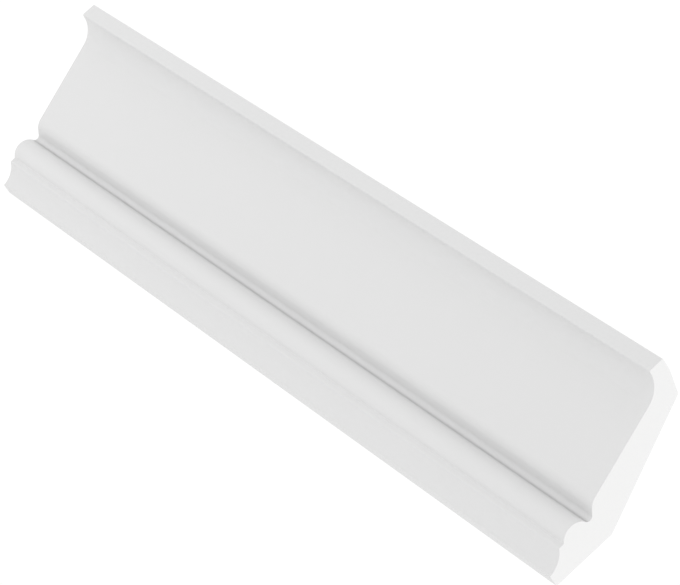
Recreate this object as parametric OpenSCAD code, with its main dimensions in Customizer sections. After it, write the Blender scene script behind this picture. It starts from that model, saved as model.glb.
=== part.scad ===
// Crown moulding length: one solid piece of moulding for the corner between a wall and a ceiling,
// cut square at both ends.
// X runs along the length, +Y points into the wall and +Z up to the ceiling.
// The origin is the middle of the flat face that lies on the wall. Sizes are in millimetres.

/* [Overall] */
// Length between the two square cuts
length = 645; // [150:5:2400]
// Height of the section, from its underside to the ceiling
drop = 117; // [97:1:150]
// Reach of the section, from the wall to the face of the lip
projection = 65; // [54:1:80]

/* [Back] */
// Height of the flat face that lies on the wall
wall_face = 41; // [30:0.5:50]
// Depth of the flat face that meets the ceiling, back from the lip
ceiling_face = 8.5; // [5:0.5:15]
// Depth of the whole top, from the lip back to the sloping back
top_depth = 25; // [20:0.5:32]
// How much lower the top is at its back edge than at the ceiling face
ceiling_relief = 3.2; // [0.5:0.1:6]

/* [Lip and cove] */
// Height of the lip's upright face
lip = 10; // [6:0.5:14]
// Depth of the flat under the lip, out from the top of the cove
lip_return = 1.4; // [0.5:0.1:4]
// Radius of the cove under the lip
cove_r = 17.4; // [10:0.2:22]

/* [Shoulder and quirk] */
// Radius of the shoulder at the bottom of the long slope
shoulder_r = 10.2; // [5:0.2:13]
// Length of the short bevel that runs from the shoulder in to the quirk
bevel = 3.8; // [2:0.1:8]
// Slope of that bevel above the horizontal, in degrees
bevel_slope = 28; // [15:1:45]
// Radius of the quirk, the narrow groove above the bead
quirk_r = 2.8; // [1:0.1:5]
// Direction from the middle of the bead to the quirk, in degrees above the horizontal
quirk_turn = 60; // [45:1:75]

/* [Bead and foot] */
// Radius of the bead
bead_r = 9.3; // [7:0.1:12]
// Distance from the wall to the front of the bead
bead_front = 23.6; // [21:0.1:30]
// Distance from the wall to the fillet, the narrow upright face under the bead
fillet_front = 18; // [14:0.1:21]
// Height of the fillet
fillet = 3.6; // [1:0.1:6]
// Height of the cavetto, the hollow at the foot
cavetto = 12.7; // [8:0.1:16]
// Radius of the cavetto
cavetto_r = 16; // [12:0.2:30]
// Width of the flat underside
foot = 8; // [5:0.5:12]

/* [Hidden] */
$fn = 120;
// How far a straight run reaches into the circle it touches, so that the two meet at one clean edge
bite = 0.002;

// In the section, a point is [distance from the wall, height above the underside].
function heading(degrees) = [cos(degrees), sin(degrees)];
function rim(middle, radius, degrees) = middle + (radius - bite) * heading(degrees);

// The bead stands on the fillet, so its circle passes through the fillet's top edge.
bead_x = bead_front - bead_r;
bead_mid = [bead_x, cavetto + fillet + sqrt(bead_r ^ 2 - (fillet_front - bead_x) ^ 2)];

// The quirk's circle touches the bead's from outside, and the bevel touches the quirk and the shoulder.
quirk_mid = bead_mid + (bead_r + quirk_r - bite) * heading(quirk_turn);
bevel_start = quirk_mid + quirk_r * heading(bevel_slope + 90);
bevel_end = bevel_start + bevel * heading(bevel_slope);
shoulder_mid = bevel_end + shoulder_r * heading(bevel_slope + 90);

// The cove's circle hangs from the flat under the lip.
cove_mid = [projection - lip_return, drop - lip - cove_r];

// The long slope touches the shoulder on its room side and the cove on its wall side.
span = cove_mid - shoulder_mid;
slope = atan2(span[1], span[0]) + asin((shoulder_r + cove_r) / norm(span));

// The cavetto's circle passes through the front of the underside and the bottom of the fillet.
chord = [fillet_front - foot, cavetto];
cavetto_mid = [foot, 0] + chord / 2
    + sqrt(cavetto_r ^ 2 - (norm(chord) / 2) ^ 2) * [chord[1], -chord[0]] / norm(chord);

// The outline before the front is shaped: wall, underside, ceiling and sloping back.
module blank() {
    polygon([
        [0, 0],
        [projection, 0],
        [projection, drop],
        [projection - ceiling_face, drop],
        [projection - top_depth, drop - ceiling_relief],
        [0, wall_face]
    ]);
}

// The front before its hollows are cut: its straight runs, with the bead and the shoulder standing out.
module front() {
    polygon([
        [0, 0],
        [fillet_front, 0],
        [fillet_front, cavetto + fillet + bite],
        rim(bead_mid, bead_r, quirk_turn),
        rim(quirk_mid, quirk_r, bevel_slope + 90),
        rim(shoulder_mid, shoulder_r, bevel_slope - 90),
        rim(shoulder_mid, shoulder_r, slope - 90),
        rim(cove_mid, cove_r, slope + 90),
        rim(cove_mid, cove_r, 90),
        [projection, drop - lip],
        [projection, drop],
        [0, drop]
    ]);
    translate(bead_mid) circle(bead_r);
    translate(shoulder_mid) circle(shoulder_r);
}

// The three hollows: the cavetto at the foot, the quirk above the bead and the cove under the lip.
module hollows() {
    translate(cavetto_mid) circle(cavetto_r);
    translate(quirk_mid) circle(quirk_r);
    translate(cove_mid) circle(cove_r);
}

module section() {
    intersection() {
        blank();
        difference() {
            front();
            hollows();
        }
    }
}

// The section stands with its wall face on Y = 0 and runs along X.
module crown_moulding() {
    color("white")
        translate([0, 0, -wall_face / 2])
        rotate([90, 0, -90])
        linear_extrude(length, center = true)
        section();
}

crown_moulding();
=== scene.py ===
"""A straight length of white crown moulding, sawn square at both ends, in a plain white studio.

X runs along the length, +Y points into the wall and +Z up to the ceiling. Lengths are in metres.
A point of the section is (distance from the wall, height above the underside).
"""

import math
import random

import bpy
import numpy as np
from bpy.props import FloatProperty, FloatVectorProperty, IntProperty, PointerProperty
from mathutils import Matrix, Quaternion, Vector
from mathutils.geometry import delaunay_2d_cdt


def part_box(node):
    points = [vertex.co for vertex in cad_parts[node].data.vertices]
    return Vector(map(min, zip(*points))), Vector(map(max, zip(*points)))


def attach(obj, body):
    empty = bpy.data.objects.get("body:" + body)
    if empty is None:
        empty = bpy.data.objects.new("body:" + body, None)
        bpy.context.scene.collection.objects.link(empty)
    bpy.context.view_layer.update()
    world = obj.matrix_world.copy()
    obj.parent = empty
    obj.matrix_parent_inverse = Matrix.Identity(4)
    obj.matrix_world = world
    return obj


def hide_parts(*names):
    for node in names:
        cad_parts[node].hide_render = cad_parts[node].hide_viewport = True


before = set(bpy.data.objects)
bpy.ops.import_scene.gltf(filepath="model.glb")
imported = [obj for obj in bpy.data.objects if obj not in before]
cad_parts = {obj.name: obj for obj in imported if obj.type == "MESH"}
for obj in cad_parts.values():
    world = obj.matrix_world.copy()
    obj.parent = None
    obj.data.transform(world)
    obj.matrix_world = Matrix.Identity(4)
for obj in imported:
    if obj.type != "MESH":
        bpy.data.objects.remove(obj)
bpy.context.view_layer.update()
NODE = "crown_moulding"
PIECE = "moulding_length"
MM = 0.001
RIGHT_ANGLE = math.radians(90)

bl_info = {
    "name": "Crown Moulding Length",
    "version": (1, 0, 0),
    "blender": (4, 5, 0),
    "location": "View3D > Sidebar > Moulding",
    "description": "Builds a length of crown moulding from the sizes of its section",
    "category": "Add Mesh",
}


# ---------------------------------------------------------------- sizes and colours


def size(name, description, millimetres):
    return FloatProperty(
        name=name,
        description=description,
        default=millimetres * MM,
        min=0.0,
        precision=5,
        unit="LENGTH",
        subtype="DISTANCE",
    )


def turn(name, description, degrees):
    return FloatProperty(
        name=name,
        description=description,
        default=math.radians(degrees),
        unit="ROTATION",
        subtype="ANGLE",
    )


def share(name, description, default):
    return FloatProperty(
        name=name, description=description, default=default, min=0.0, max=1.0, subtype="FACTOR"
    )


def strength(name, description, default, unit="NONE"):
    return FloatProperty(name=name, description=description, default=default, min=0.0, unit=unit)


def colour(name, description, default):
    return FloatVectorProperty(
        name=name, description=description, default=default, min=0.0, max=1.0, size=3, subtype="COLOR"
    )


def place(name, description, default):
    return FloatVectorProperty(
        name=name, description=description, default=default, size=3, unit="LENGTH", subtype="XYZ"
    )


class SectionSizes(bpy.types.PropertyGroup):
    """The section's sizes. Its whole height, its reach and the length come from the frame."""

    wall_face: size("Wall Face", "Height of the flat face that lies on the wall", 41)
    ceiling_face: size("Ceiling Face", "Depth of the flat face that meets the ceiling", 8.5)
    top_depth: size("Top Depth", "Depth of the whole top, back from the lip", 25)
    ceiling_relief: size("Ceiling Relief", "How much lower the top is at its back edge", 3.2)
    lip: size("Lip", "Height of the lip's upright face", 10)
    lip_return: size("Lip Return", "Depth of the flat under the lip", 1.4)
    cove_radius: size("Cove Radius", "Radius of the cove under the lip", 17.4)
    shoulder_radius: size("Shoulder Radius", "Radius at the bottom of the long slope", 10.2)
    bevel: size("Bevel", "Length of the bevel between the quirk and the shoulder", 3.8)
    bevel_slope: turn("Bevel Slope", "Slope of the bevel above the horizontal", 28)
    quirk_radius: size("Quirk Radius", "Radius of the narrow groove above the bead", 2.8)
    quirk_turn: turn("Quirk Turn", "Direction from the middle of the bead to the quirk", 60)
    bead_radius: size("Bead Radius", "Radius of the bead", 9.3)
    bead_front: size("Bead Front", "Distance from the wall to the front of the bead", 23.6)
    fillet_front: size("Fillet Front", "Distance from the wall to the fillet", 18)
    fillet: size("Fillet", "Height of the narrow upright face under the bead", 3.6)
    cavetto: size("Cavetto", "Height of the hollow at the foot", 12.7)
    cavetto_radius: size("Cavetto Radius", "Radius of that hollow", 16)
    foot: size("Foot", "Width of the flat underside", 8)


class EdgeSizes(bpy.types.PropertyGroup):
    """How far the edges are softened, and how fine the mesh is."""

    lip_edge: size("Lip Edge", "Radius of the lip's lower edge", 1.2)
    fillet_edge: size("Fillet Edge", "Radius of the fillet's two edges", 1.0)
    fine_edge: size("Fine Edge", "Radius of the other moulded edges of the front", 0.45)
    wall_edge: size("Wall Edge", "Radius of the edge between the underside and the wall", 0.8)
    back_edge: size("Back Edge", "Radius of the two edges of the back", 2.2)
    sawn_edge: size("Sawn Edge", "Radius that is left by the saw round the ends", 0.15)
    across: size("Step Across", "Longest side of a face across the section", 2.5)
    along: size("Step Along", "Longest side of a face along the moulding", 8)
    sawn_step: size("Sawn Step", "Spacing of the points on the sawn ends", 0.9)
    saw_depth: size("Saw Depth", "Depth of the saw's marks on the ends", 0.02)
    saw_pitch: size("Saw Pitch", "Distance between the saw's marks", 4)
    blade: size("Blade", "Radius of the saw's blade", 127)
    seed: IntProperty(name="Seed", description="Seed of the points on the sawn ends", default=7)


class FinishLook(bpy.types.PropertyGroup):
    """The colours and textures of the primed front, the sawn ends and the bare back."""

    primer: colour("Primer", "Colour of the primer", (0.64, 0.64, 0.64))
    primer_roughness: share("Primer Roughness", "Mean roughness of the primer", 0.6)
    foam: colour("Foam", "Colour of the freshly sawn foam", (0.66, 0.66, 0.658))
    bare: colour("Bare Back", "Colour of the bare, extruded back", (0.63, 0.628, 0.62))
    bare_roughness: share("Bare Roughness", "Mean roughness of bare foam", 0.85)
    # Painted shade: these two darken the primer's colour deep in the quirk, where the narrow groove lies
    # in shadow, and set how far that darkening reaches
    painted_quirk_shade: share("Painted Quirk Shade", "How much darker the primer is deep in the quirk", 0.27)
    painted_shade_reach: size("Painted Shade Reach", "How far that reaches from the quirk's bottom", 2.4)
    primer_specular: share("Primer Specular", "Specular level of the primer", 0.4)
    primer_cloud: share("Primer Clouds", "Soft variation of the primer's colour", 0.012)
    peel: size("Orange Peel", "Spacing of the primer's orange peel", 1.8)
    peel_height: size("Peel Height", "Height of the orange peel's bump", 0.012)
    streak: size("Streaks", "Spacing of the lines that run along the moulding", 0.9)
    cell: size("Cell", "Spacing of the foam's cells", 0.32)
    cell_height: size("Cell Height", "Height of the cells' bump on a sawn end", 0.05)
    foam_specular: share("Foam Specular", "Specular level of bare foam", 0.3)
    foam_cloud: share("Foam Clouds", "Soft variation of the sawn foam's colour", 0.01)
    bare_height: size("Bare Height", "Height of the back's bump", 0.06)
    bare_cloud: share("Bare Clouds", "Soft variation of the back's colour", 0.05)
    cloud: size("Clouds", "Spacing of the soft variation in every colour", 45)
    overspray: size("Overspray", "How far the primer reaches on to the back", 7)


class StudioLook(bpy.types.PropertyGroup):
    """The camera, the floor and the lights."""

    azimuth: turn("Azimuth", "Direction of the camera round the moulding", 53.587)
    elevation: turn("Elevation", "Height angle of the camera", -10.496)
    roll: turn("Roll", "Turn of the camera about its own axis", 47.701)
    distance: size("Distance", "Distance from the camera to its aim", 2573.5)
    aim: place("Aim", "The camera's aim, from the middle of the box", (0.01595, 0.01974, 0.00605))
    lens: FloatProperty(
        name="Lens", description="Focal length, in millimetres", default=232.66, unit="CAMERA"
    )
    floor_drop: size("Floor Drop", "Distance from the moulding down to the floor", 800)
    floor_width: size("Floor Width", "Width of the square floor", 40000)
    floor: colour("Floor", "Colour of the floor", (0.9, 0.9, 0.9))
    backdrop: strength("Backdrop", "Brightness of the white behind everything", 1.03)
    room: strength("Room", "Strength of the light from all round", 1.145)
    key: strength("Key", "Strength of the light on the right-hand end", 10.1, "POWER")
    key_place: place("Key Place", "Place of that light, from the middle of the box", (2.2, 0.5, 0.3))
    key_width: size("Key Width", "Width of that light", 1000)
    fill: strength("Fill", "Strength of the light from the far left", 3.5, "POWER")
    fill_place: place("Fill Place", "Place of that light, from the middle", (-1.5, -1.2, -0.45))
    fill_width: size("Fill Width", "Width of that light", 600)
    rear: strength("Rear", "Strength of the light from above and behind", 5.0, "POWER")
    rear_place: place("Rear Place", "Place of that light, from the middle", (-0.3, 0.6, 1.9))
    rear_width: size("Rear Width", "Width of that light", 800)


class MouldingSettings(bpy.types.PropertyGroup):
    """Everything that the two operators read."""

    section: PointerProperty(name="Section", description="The section's sizes", type=SectionSizes)
    edges: PointerProperty(name="Edges", description="Softening and fineness", type=EdgeSizes)
    finish: PointerProperty(name="Finish", description="Colours and textures", type=FinishLook)
    studio: PointerProperty(name="Studio", description="Camera, floor, lights", type=StudioLook)


# ---------------------------------------------------------------- the section


def heading(angle):
    return Vector((math.cos(angle), math.sin(angle)))


def angle_of(vector):
    return math.atan2(vector.y, vector.x) % math.tau


def arc(middle, radius, start, end, step=math.radians(4)):
    """Points along an arc, from one angle to another, ends included."""
    count = max(2, math.ceil(abs(end - start) / step))
    angles = (start + (end - start) * i / count for i in range(count + 1))
    return [middle + radius * heading(a) for a in angles]


def cavetto_arc(s):
    """The hollow from the underside's front edge up to the fillet."""
    low, high = Vector((s.foot, 0)), Vector((s.fillet_front, s.cavetto))
    chord = high - low
    out = Vector((chord.y, -chord.x)).normalized()
    sagitta_leg = math.sqrt(s.cavetto_radius**2 - (chord.length / 2) ** 2)
    middle = (low + high) / 2 + out * sagitta_leg
    return arc(middle, s.cavetto_radius, angle_of(low - middle), angle_of(high - middle))


def bead_and_quirk(s):
    """The middles of the bead and of the quirk, which touch each other."""
    bead_x = s.bead_front - s.bead_radius
    rise = math.sqrt(s.bead_radius**2 - (s.fillet_front - bead_x) ** 2)
    bead = Vector((bead_x, s.cavetto + s.fillet + rise))
    return bead, bead + (s.bead_radius + s.quirk_radius) * heading(s.quirk_turn)


# This depth is the mask of the shade painted into the primer's colour in the quirk
def quirk_depth(s, p, reach):
    """How deep a point lies in the quirk: 1 at its bottom, 0 from a distance away."""
    _, quirk = bead_and_quirk(s)
    bottom = quirk + s.quirk_radius * heading(s.quirk_turn + math.radians(170))
    return max(0.0, 1 - (p - bottom).length / reach)


def upper_arcs(s, reach, drop):
    """The bead, the quirk, the shoulder and the cove: each runs smoothly into the next."""
    bead, quirk = bead_and_quirk(s)
    low = Vector((s.fillet_front, s.cavetto + s.fillet)) - bead
    bevel_up = s.bevel_slope + RIGHT_ANGLE
    bevel_end = quirk + s.quirk_radius * heading(bevel_up) + s.bevel * heading(s.bevel_slope)
    shoulder = bevel_end + s.shoulder_radius * heading(bevel_up)
    cove = Vector((reach - s.lip_return, drop - s.lip - s.cove_radius))
    span = cove - shoulder
    slope = angle_of(span) + math.asin((s.shoulder_radius + s.cove_radius) / span.length)
    return [
        *arc(bead, s.bead_radius, math.atan2(low.y, low.x), s.quirk_turn),
        *arc(quirk, s.quirk_radius, s.quirk_turn + 2 * RIGHT_ANGLE, bevel_up)[1:],
        *arc(shoulder, s.shoulder_radius, s.bevel_slope - RIGHT_ANGLE, slope - RIGHT_ANGLE),
        *arc(cove, s.cove_radius, slope + RIGHT_ANGLE, RIGHT_ANGLE),
    ]


def section_corners(s, edges, reach, drop):
    """The section's outline, front first, as pairs of a point and the radius that softens it."""
    hollow = cavetto_arc(s)
    upper = upper_arcs(s, reach, drop)
    return [
        (hollow[0], edges.fine_edge),
        *((p, 0) for p in hollow[1:-1]),
        (hollow[-1], edges.fillet_edge),
        (upper[0], edges.fillet_edge),
        *((p, 0) for p in upper[1:]),
        (Vector((reach, drop - s.lip)), edges.lip_edge),
        (Vector((reach, drop)), edges.fine_edge),
        (Vector((reach - s.ceiling_face, drop)), edges.back_edge),
        (Vector((reach - s.top_depth, drop - s.ceiling_relief)), edges.back_edge),
        (Vector((0, s.wall_face)), edges.back_edge),
        (Vector((0, 0)), edges.wall_edge),
    ]


def walk(points, start, step, distance):
    """Goes along a closed outline from a corner. Gives the point reached and the next corner."""
    here, left = start, distance
    while True:
        ahead = (here + step) % len(points)
        run = points[ahead] - points[here]
        if run.length > left:
            return points[here] + run.normalized() * left, ahead
        left -= run.length
        here = ahead


def softened(corners, parts=6):
    """Swaps each corner that has a radius for an arc that touches the outline on both sides."""
    points = [p for p, _ in corners]
    rounded, passed = {}, set()
    for i, (p, radius) in enumerate(corners):
        if radius == 0:
            continue
        onward = points[(i + 1) % len(points)] - p
        half_turn = (p - points[i - 1]).angle(onward) / 2
        cut = radius * math.tan(half_turn)
        start, last_before = walk(points, i, -1, cut)
        end, first_after = walk(points, i, 1, cut)
        weight = math.cos(half_turn)
        rounded[i] = []
        for part in range(parts + 1):
            t = part / parts
            a, b, c = (1 - t) ** 2, 2 * t * (1 - t) * weight, t**2
            rounded[i].append((start * a + p * b + end * c) / (a + b + c))
        between = (last_before + 1) % len(points)
        while between != first_after:
            passed.add(between)
            between = (between + 1) % len(points)
    outline = []
    for i, p in enumerate(points):
        if i in rounded:
            outline += rounded[i]
        elif i not in passed:
            outline.append(p)
    return outline


def divided(outline, longest, support=0.25 * MM):
    """Splits long straight runs, with a short step at each end that keeps the edges' shading tight."""
    points = []
    for p, q in zip(outline, outline[1:] + outline[:1]):
        run = q - p
        points.append(p)
        if run.length <= longest:
            continue
        count = math.ceil(run.length / longest)
        step = run.normalized() * support
        points += [p + step, *(p + run * k / count for k in range(1, count)), q - step]
    return points


def outward(outline):
    """The outward direction of a closed outline at each of its points."""
    normals = []
    for before, p, after in zip(outline[-1:] + outline[:-1], outline, outline[1:] + outline[:1]):
        along = (p - before).normalized() + (after - p).normalized()
        normals.append(Vector((along.y, -along.x)).normalized())
    return normals


# ---------------------------------------------------------------- the mesh


def end_points(outline, pitch, rng):
    """Jittered points inside an outline, each with its distance to that outline."""
    a = np.array([tuple(p) for p in outline])
    b = np.roll(a, -1, axis=0)
    side = b - a
    low, high = a.min(0), a.max(0)
    row_step = pitch * math.sin(math.radians(60))
    rows = math.ceil((high[1] - low[1]) / row_step)
    columns = math.ceil((high[0] - low[0]) / pitch)
    jitter = 0.22
    grid = np.array(
        [
            (
                low[0] + (c + 0.5 * (r % 2) + rng.uniform(-jitter, jitter)) * pitch,
                low[1] + (r + rng.uniform(-jitter, jitter)) * row_step,
            )
            for r in range(rows + 1)
            for c in range(columns + 1)
        ]
    )
    x, y = grid[:, None, 0], grid[:, None, 1]
    offset = grid[:, None, :] - a
    t = np.clip((offset * side).sum(2) / (side**2).sum(1), 0, 1)
    gap = np.sqrt(((offset - t[..., None] * side) ** 2).sum(2)).min(1)
    spans = (a[:, 1] > y) != (b[:, 1] > y)
    rise = np.where(side[:, 1] == 0, 1, side[:, 1])
    crossing = a[:, 0] + (y - a[:, 1]) / rise * side[:, 0]
    inside = (spans & (x < crossing)).sum(1) % 2 == 1
    keep = inside & (gap > pitch / 2)
    return [Vector(p) for p in grid[keep]], [float(d) for d in gap[keep]]


def saw_mark(p, edges):
    """How far a sawn end lies behind its plane at a point, from the blade's curved marks."""
    blade_middle = Vector((-edges.blade * 0.6, -edges.blade * 0.5))
    ring = (p - blade_middle).length / edges.saw_pitch
    finer = 2.37
    wave = 0.6 * math.sin(math.tau * ring) + 0.4 * math.sin(math.tau * ring * finer + 1)
    return edges.saw_depth * (0.5 + 0.5 * wave)


class MouldingMesh:
    """Collects the vertices, faces, materials and attributes of the length."""

    FRONT, BACK, SAWN = range(3)
    BACKWARD, UPWARD = -0.3, 1.96  # limits on the sum of two unit normals, for a hidden face

    def __init__(self, section, edges, painted_shade_reach):
        low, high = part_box(NODE)
        self.wall, self.underside = high.y, low.z
        self.reach, self.drop = high.y - low.y, high.z - low.z
        self.left, self.right = low.x, high.x
        self.edges = edges
        corners = section_corners(section, edges, self.reach, self.drop)
        self.outline = divided(softened(corners), edges.across)
        self.normals = outward(self.outline)
        # How deep each point lies in the quirk: the mask of the shade painted into the primer there
        self.depths = [quirk_depth(section, p, painted_shade_reach) for p in self.outline]
        self.vertices, self.faces, self.materials = [], [], []
        self.skin, self.cover, self.quirk = [], [], []

    def add(self, x, p, skin=1.0, quirk=0.0):
        """Adds a point of the section at a place along the length."""
        self.vertices.append((x, self.wall - p.x, self.underside + p.y))
        self.skin.append(skin)
        self.cover.append(min(self.reach - p.x, p.y))
        self.quirk.append(quirk)
        return len(self.vertices) - 1

    def inset(self, distance):
        return [p - n * distance for p, n in zip(self.outline, self.normals)]

    def stations(self):
        """Each ring's place along the length and how far it is inset: the ends are softened."""
        edge, left, right = self.edges.sawn_edge, self.left, self.right
        quarter = [RIGHT_ANGLE * k / 3 for k in range(4)]
        eased = [(edge * (1 - math.cos(a)), edge * (1 - math.sin(a))) for a in quarter]
        eased.append((2 * edge, 0.0))
        body = right - left - 4 * edge
        count = math.ceil(body / self.edges.along)
        middle = [(left + 2 * edge + body * k / count, 0.0) for k in range(1, count)]
        return [
            *((left + back, inset) for back, inset in eased),
            *middle,
            *((right - back, inset) for back, inset in reversed(eased)),
        ]

    def sweep(self):
        """The long faces, between rings of the outline. Gives the first and the last ring."""
        rings = [
            [self.add(x, p, 1.0, c) for p, c in zip(self.inset(inset), self.depths)]
            for x, inset in self.stations()
        ]
        count = len(self.outline)
        kinds = []
        for i, n in enumerate(self.normals):
            facing = n + self.normals[(i + 1) % count]
            hidden = facing.x < self.BACKWARD or facing.y > self.UPWARD
            kinds.append(self.BACK if hidden else self.FRONT)
        for ring, following in zip(rings, rings[1:]):
            for i, kind in enumerate(kinds):
                j = (i + 1) % count
                self.faces.append((ring[i], following[i], following[j], ring[j]))
                self.materials.append(kind)
        return rings[0], rings[-1]

    def close(self, ring, x, inward):
        """Fills a sawn end with triangles. inward is 1 at the left-hand end and -1 at the right."""
        edges = self.edges
        border = self.inset(edges.sawn_edge)
        support = self.inset(2 * edges.sawn_edge)
        rng = random.Random(edges.seed + inward)
        inner, gaps = end_points(support, edges.sawn_step, rng)
        fade = 1.5 * MM
        count = len(border)
        filled = delaunay_2d_cdt(border + support + inner, [], [list(range(count))], 1, 1e-8)
        index = []
        for p, (original, *_) in zip(filled[0], filled[3]):
            if original < count:
                index.append(ring[original])
            elif original < 2 * count:
                index.append(self.add(x, p))
            else:
                near = max(0.0, 1 - gaps[original - 2 * count] / fade)
                behind = saw_mark(p, edges) * (1 - near)
                index.append(self.add(x + inward * behind, p, near))
        for face in filled[2]:
            corners = [index[k] for k in face]
            self.faces.append(corners if inward > 0 else corners[::-1])
            self.materials.append(self.SAWN)

    def build(self):
        first, last = self.sweep()
        self.close(first, self.left, 1)
        self.close(last, self.right, -1)

    def to_object(self, name, materials):
        mesh = bpy.data.meshes.new(name)
        mesh.from_pydata(self.vertices, [], self.faces)
        for material in materials:
            mesh.materials.append(material)
        mesh.polygons.foreach_set("material_index", self.materials)
        mesh.polygons.foreach_set("use_smooth", [True] * len(self.faces))
        for label, values in (
            ("skin", self.skin),
            ("back_depth", self.cover),
            # quirk_depth masks the shade painted into the primer's colour deep in the quirk
            ("quirk_depth", self.quirk),
        ):
            attribute = mesh.attributes.new(label, "FLOAT", "POINT")
            attribute.data.foreach_set("value", values)
        if mesh.validate():
            raise RuntimeError("the moulding's mesh has faults")
        mesh.update()
        piece = bpy.data.objects.new(name, mesh)
        bpy.context.scene.collection.objects.link(piece)
        return piece


# ---------------------------------------------------------------- the materials


def node(tree, kind, column, row=0, inputs=None, **settings):
    """Adds a node. An input is either a plain value or the output socket that feeds it."""
    made = tree.nodes.new(kind)
    made.location = (column * 220, -row * 260)
    for name, value in settings.items():
        setattr(made, name, value)
    for name, value in (inputs or {}).items():
        if isinstance(value, bpy.types.NodeSocket):
            tree.links.new(value, made.inputs[name])
        else:
            made.inputs[name].default_value = value
    return made


def maths(tree, operation, column, row, first, second=0.0):
    """Adds a Math node and gives its output."""
    return node(
        tree, "ShaderNodeMath", column, row, {0: first, 1: second}, operation=operation
    ).outputs[0]


def scaled(tree, column, row, colour_in, factor):
    """Multiplies a colour by a number."""
    inputs = {0: colour_in, "Scale": factor}
    return node(tree, "ShaderNodeVectorMath", column, row, inputs, operation="SCALE").outputs[0]


def ramp(tree, column, row, value, start, end, low=0.0, high=1.0, kind="LINEAR"):
    """Maps a value that goes from low to high so that it goes from start to end."""
    inputs = {"Value": value, "From Min": low, "From Max": high, "To Min": start, "To Max": end}
    made = node(tree, "ShaderNodeMapRange", column, row, inputs, interpolation_type=kind)
    return made.outputs["Result"]


def varied(tree, column, row, value, middle, swing):
    """Maps a value from 0 to 1 to a middle value, give or take a swing."""
    return ramp(tree, column, row, value, middle - swing, middle + swing)


def noise(tree, column, row, vector, scale, detail, roughness=0.5):
    """Adds a noise texture and gives its value, from 0 to 1."""
    inputs = {"Vector": vector, "Scale": scale, "Detail": detail, "Roughness": roughness}
    return node(tree, "ShaderNodeTexNoise", column, row, inputs).outputs["Fac"]


def point_value(tree, column, row, name):
    """A value that the mesh stores at each of its points."""
    return node(tree, "ShaderNodeAttribute", column, row, attribute_name=name).outputs["Fac"]


def either(tree, column, row, factor, first, second):
    """Mixes two shaders."""
    inputs = {0: factor, 1: first.outputs[0], 2: second.outputs[0]}
    return node(tree, "ShaderNodeMixShader", column, row, inputs).outputs[0]


def new_group(name, inputs, outputs):
    """Starts a shader node group. Gives the group, its inputs and its output node."""
    group = bpy.data.node_groups.new(name, "ShaderNodeTree")
    for label, kind, value in inputs:
        socket = group.interface.new_socket(label, in_out="INPUT", socket_type=kind)
        socket.default_value = value
    for label, kind in outputs:
        group.interface.new_socket(label, in_out="OUTPUT", socket_type=kind)
    return group, node(group, "NodeGroupInput", -1).outputs, node(group, "NodeGroupOutput", 7)


def object_place(tree, column=0, row=0):
    """The place on the object, in metres, in the moulding's own frame."""
    return node(tree, "ShaderNodeTexCoord", column, row).outputs["Object"]


def streaks_group():
    """Fine lines along the moulding, as a height from 0 to 1."""
    group, given, out = new_group(
        "Lengthwise Streaks",
        [("Spacing", "NodeSocketFloat", 1 * MM), ("Stretch", "NodeSocketFloat", 300.0)],
        [("Height", "NodeSocketFloat")],
    )
    across = maths(group, "DIVIDE", 1, 0, 1.0, given["Spacing"])
    along = maths(group, "DIVIDE", 2, 1, across, given["Stretch"])
    scale = node(group, "ShaderNodeCombineXYZ", 3, 0, {"X": along, "Y": across, "Z": across})
    stretched = node(
        group,
        "ShaderNodeVectorMath",
        4,
        0,
        {0: object_place(group), 1: scale.outputs[0]},
        operation="MULTIPLY",
    )
    lines = noise(group, 5, 0, stretched.outputs[0], 1.0, 3.0, 0.6)
    group.links.new(lines, out.inputs["Height"])
    return group


def cells_group():
    """Closed foam cells that are cut open: a height from 0 to 1 and a mask of each cell's tone."""
    group, given, out = new_group(
        "Foam Cells",
        [("Spacing", "NodeSocketFloat", 0.3 * MM)],
        [("Height", "NodeSocketFloat"), ("Tone", "NodeSocketFloat")],
    )
    scale = maths(group, "DIVIDE", 1, 1, 1.0, given["Spacing"])
    cells = node(
        group,
        "ShaderNodeTexVoronoi",
        3,
        0,
        {"Vector": object_place(group), "Scale": scale, "Randomness": 0.9},
        feature="SMOOTH_F1",
    )
    tone = node(group, "ShaderNodeSeparateColor", 5, 1, {"Color": cells.outputs["Color"]})
    group.links.new(cells.outputs["Distance"], out.inputs["Height"])
    group.links.new(tone.outputs[0], out.inputs["Tone"])
    return group


def clouds_group():
    """A soft variation of a colour over the surface."""
    group, given, out = new_group(
        "Clouds",
        [
            ("Colour", "NodeSocketColor", (0.9, 0.9, 0.9, 1)),
            ("Spacing", "NodeSocketFloat", 40 * MM),
            ("Amount", "NodeSocketFloat", 0.01),
        ],
        [("Colour", "NodeSocketColor")],
    )
    scale = maths(group, "DIVIDE", 1, 1, 1.0, given["Spacing"])
    cloud = noise(group, 2, 0, object_place(group), scale, 4.0, 0.55)
    swing = maths(group, "SUBTRACT", 3, 0, cloud, 0.5)
    dimmed = maths(group, "MULTIPLY", 4, 0, swing, given["Amount"])
    factor = maths(group, "ADD", 5, 0, dimmed, 1.0)
    group.links.new(scaled(group, 6, 0, given["Colour"], factor), out.inputs["Colour"])
    return group


def use_group(tree, group, column, row, inputs):
    return node(tree, "ShaderNodeGroup", column, row, inputs, node_tree=group).outputs


def solid(value):
    return (*value, 1.0)


def new_material(name, viewport):
    material = bpy.data.materials.new(name)
    material.use_nodes = True
    material.diffuse_color = solid(viewport)
    tree = material.node_tree
    tree.nodes.clear()
    return material, tree


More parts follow.
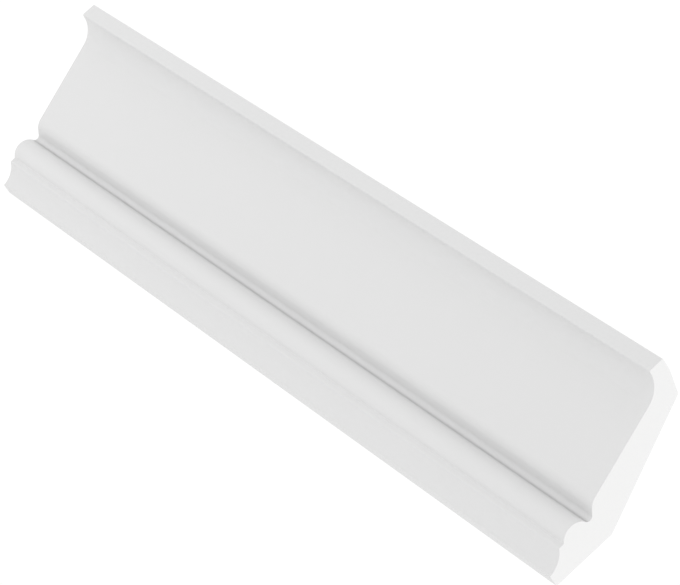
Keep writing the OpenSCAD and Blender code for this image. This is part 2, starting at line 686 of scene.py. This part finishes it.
def finish_shader(tree, colour_out, roughness, height, depth, specular):
    """The material's own shader, with its bump."""
    bump = node(tree, "ShaderNodeBump", 6, 2, {"Height": height, "Distance": depth})
    shader = node(
        tree,
        "ShaderNodeBsdfPrincipled",
        7,
        0,
        {
            "Base Color": colour_out,
            "Roughness": roughness,
            "Specular IOR Level": specular,
            "Normal": bump.outputs["Normal"],
        },
    )
    node(tree, "ShaderNodeOutputMaterial", 8, 0, {"Surface": shader.outputs["BSDF"]})


def primed_material(look, groups):
    """Smooth matt primer: a faint orange peel over faint lines from the die."""
    material, tree = new_material("primed front", look.primer)
    peel = noise(tree, 2, 1, object_place(tree), 1 / look.peel, 1.5)
    lines = use_group(tree, groups["streaks"], 2, 2, {"Spacing": look.streak, "Stretch": 400.0})
    lines_share = 0.4
    fine_lines = maths(tree, "MULTIPLY", 4, 2, lines["Height"], lines_share)
    height = maths(tree, "ADD", 5, 2, fine_lines, peel)
    tone = use_group(
        tree,
        groups["clouds"],
        2,
        0,
        {"Colour": solid(look.primer), "Spacing": look.cloud, "Amount": look.primer_cloud},
    )
    # Painted shade: the primer's colour is darkened towards the bottom of the quirk, where the narrow
    # groove lies in shadow
    deep = point_value(tree, 2, 3, "quirk_depth")
    quirk_shade_factor = ramp(tree, 3, 1, deep, 1.0, 1.0 - look.painted_quirk_shade, kind="SMOOTHSTEP")
    colour_out = scaled(tree, 5, 0, tone["Colour"], quirk_shade_factor)
    roughness = varied(tree, 5, 1, peel, look.primer_roughness, 0.08)
    finish_shader(tree, colour_out, roughness, height, look.peel_height, look.primer_specular)
    return material


def sawn_material(look, groups):
    """Freshly sawn foam: open cells, with a denser skin at the rim."""
    material, tree = new_material("sawn foam", look.foam)
    cells = use_group(tree, groups["cells"], 1, 2, {"Spacing": look.cell})
    skin = point_value(tree, 1, 1, "skin")
    open_share = maths(tree, "SUBTRACT", 2, 1, 1.0, skin)
    height = maths(tree, "MULTIPLY", 3, 2, cells["Height"], open_share)
    tone = use_group(
        tree,
        groups["clouds"],
        2,
        0,
        {"Colour": solid(look.foam), "Spacing": look.cloud / 6, "Amount": look.foam_cloud},
    )
    speckle = varied(tree, 3, 0, cells["Tone"], 0.992, 0.008)
    speckled = scaled(tree, 4, 0, tone["Colour"], speckle)
    roughness = varied(tree, 4, 1, open_share, look.bare_roughness - 0.08, 0.08)
    finish_shader(tree, speckled, roughness, height, look.cell_height, look.foam_specular)
    return material


def bare_material(look, groups):
    """The bare back: lines from the die over small cells, with primer that strayed over its edges."""
    material, tree = new_material("bare back", look.bare)
    lines = use_group(tree, groups["streaks"], 1, 2, {"Spacing": look.streak * 2, "Stretch": 120.0})
    cells = use_group(tree, groups["cells"], 1, 3, {"Spacing": look.cell * 2})
    depth = point_value(tree, 0, 1, "back_depth")
    ragged_spacing, blur = 4 * MM, 1.5 * MM
    ragged = noise(tree, 0, 2, object_place(tree, -1, 2), 1 / ragged_spacing, 4.0)
    reach = maths(tree, "MULTIPLY", 1, 1, ragged, 2 * look.overspray)
    short = maths(tree, "SUBTRACT", 2, 1, reach, depth)
    cover = ramp(tree, 2, 1, short, 0.0, 1.0, -blur, blur, "SMOOTHSTEP")
    tone = use_group(
        tree,
        groups["clouds"],
        2,
        0,
        {"Colour": solid(look.bare), "Spacing": look.cloud, "Amount": look.bare_cloud},
    )
    streaked = scaled(tree, 3, 0, tone["Colour"], varied(tree, 2, 3, lines["Height"], 1.0, 0.03))
    primed = node(
        tree,
        "ShaderNodeMix",
        4,
        0,
        {"Factor": cover, "A": streaked, "B": solid(look.primer)},
        data_type="RGBA",
    )
    texture = maths(tree, "ADD", 3, 2, lines["Height"], cells["Height"])
    coat_share = 0.4
    height = maths(tree, "ADD", 4, 2, texture, maths(tree, "MULTIPLY", 3, 3, cover, coat_share))
    roughness = varied(tree, 5, 1, lines["Height"], look.bare_roughness, 0.06)
    primed_out = primed.outputs["Result"]
    finish_shader(tree, primed_out, roughness, height, look.bare_height, look.foam_specular)
    return material


# ---------------------------------------------------------------- the studio


def box_middle():
    low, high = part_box(NODE)
    return (low + high) / 2


def lay_floor(look):
    """A wide white floor, clear when it is looked at from below."""
    low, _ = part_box(NODE)
    half = look.floor_width / 2
    height = low.z - look.floor_drop
    corners = [(-half, -half, height), (half, -half, height), (half, half, height), (-half, half, height)]
    mesh = bpy.data.meshes.new("studio_floor")
    mesh.from_pydata(corners, [], [(0, 1, 2, 3)])
    material, tree = new_material("studio floor", look.floor)
    shader = node(
        tree,
        "ShaderNodeBsdfPrincipled",
        0,
        0,
        {
            "Base Color": solid(look.floor),
            "Roughness": 1.0,
            "Specular IOR Level": 0.0,
        },
    )
    side = node(tree, "ShaderNodeNewGeometry", 0, -1)
    clear = node(tree, "ShaderNodeBsdfTransparent", 0, 2)
    mixed = either(tree, 1, 0, side.outputs["Backfacing"], shader, clear)
    node(tree, "ShaderNodeOutputMaterial", 2, 0, {"Surface": mixed})
    mesh.materials.append(material)
    floor = bpy.data.objects.new("studio_floor", mesh)
    bpy.context.scene.collection.objects.link(floor)
    return floor


def light_room(look):
    """White behind everything, and an even light from all round."""
    world = bpy.data.worlds.new("studio room")
    world.use_nodes = True
    tree = world.node_tree
    tree.nodes.clear()
    seen = node(tree, "ShaderNodeBackground", 0, 0, {"Color": solid((1, 1, 1)), "Strength": look.backdrop})
    given = node(tree, "ShaderNodeBackground", 0, 1, {"Color": solid((1, 1, 1)), "Strength": look.room})
    path = node(tree, "ShaderNodeLightPath", -1, 0)
    mixed = either(tree, 1, 0, path.outputs["Is Camera Ray"], given, seen)
    node(tree, "ShaderNodeOutputWorld", 2, 0, {"Surface": mixed})
    bpy.context.scene.world = world


def aim_at(thing, direction):
    thing.rotation_mode = "QUATERNION"
    thing.rotation_quaternion = direction.to_track_quat("-Z", "Y")


def hang_light(name, power, offset, width):
    light = bpy.data.lights.new(name, "AREA")
    light.energy = power
    light.shape = "SQUARE"
    light.size = width
    holder = bpy.data.objects.new(name, light)
    holder.location = box_middle() + Vector(offset)
    aim_at(holder, -Vector(offset))
    bpy.context.scene.collection.objects.link(holder)
    return holder


def set_camera(look):
    """The camera turns about its own axis as well, so its up is taken from a level view first."""
    level = math.cos(look.elevation)
    back = Vector(
        (
            math.sin(look.azimuth) * level,
            -math.cos(look.azimuth) * level,
            math.sin(look.elevation),
        )
    )
    camera = bpy.data.cameras.new("camera")
    camera.lens = look.lens
    camera.clip_start = 0.01
    camera.clip_end = 100
    holder = bpy.data.objects.new("camera", camera)
    holder.location = box_middle() + Vector(look.aim) + back * look.distance
    aim_at(holder, -back)
    holder.rotation_quaternion = holder.rotation_quaternion @ Quaternion((0, 0, 1), look.roll)
    bpy.context.scene.collection.objects.link(holder)
    bpy.context.scene.camera = holder


# ---------------------------------------------------------------- operators and panel


class MOULDING_OT_add_length(bpy.types.Operator):
    """Build the length of moulding in place of its plain solid"""

    bl_idname = "moulding.add_length"
    bl_label = "Add Moulding Length"

    def execute(self, context):
        settings = context.scene.moulding
        look = settings.finish
        groups = {"streaks": streaks_group(), "cells": cells_group(), "clouds": clouds_group()}
        build = MouldingMesh(settings.section, settings.edges, look.painted_shade_reach)
        build.build()
        materials = [
            primed_material(look, groups),
            bare_material(look, groups),
            sawn_material(look, groups),
        ]
        piece = build.to_object(PIECE, materials)
        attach(piece, "root")
        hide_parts(NODE)
        return {"FINISHED"}


class MOULDING_OT_add_studio(bpy.types.Operator):
    """Set up the plain white studio: floor, lights and camera"""

    bl_idname = "moulding.add_studio"
    bl_label = "Add Studio"

    def execute(self, context):
        look = context.scene.moulding.studio
        lay_floor(look)
        light_room(look)
        hang_light("key", look.key, look.key_place, look.key_width)
        hang_light("fill", look.fill, look.fill_place, look.fill_width)
        hang_light("rear", look.rear, look.rear_place, look.rear_width)
        set_camera(look)
        context.scene.view_settings.view_transform = "Standard"
        return {"FINISHED"}


class MOULDING_PT_sidebar(bpy.types.Panel):
    """Every size and colour, with a button for the moulding and one for the studio"""

    bl_idname = "MOULDING_PT_sidebar"
    bl_label = "Crown Moulding Length"
    bl_space_type = "VIEW_3D"
    bl_region_type = "UI"
    bl_category = "Moulding"

    def draw(self, context):
        settings = context.scene.moulding
        for operator, groups in (
            (MOULDING_OT_add_length, (settings.section, settings.edges, settings.finish)),
            (MOULDING_OT_add_studio, (settings.studio,)),
        ):
            self.layout.operator(operator.bl_idname)
            for group in groups:
                column = self.layout.column(align=True)
                for name in group.__annotations__:
                    column.prop(group, name)


CLASSES = (
    SectionSizes,
    EdgeSizes,
    FinishLook,
    StudioLook,
    MouldingSettings,
    MOULDING_OT_add_length,
    MOULDING_OT_add_studio,
    MOULDING_PT_sidebar,
)


def register():
    for cls in CLASSES:
        bpy.utils.register_class(cls)
    bpy.types.Scene.moulding = PointerProperty(type=MouldingSettings)


def unregister():
    del bpy.types.Scene.moulding
    for cls in reversed(CLASSES):
        bpy.utils.unregister_class(cls)


def main():
    register()
    bpy.ops.moulding.add_length()
    bpy.ops.moulding.add_studio()


if __name__ == "__main__":
    main()
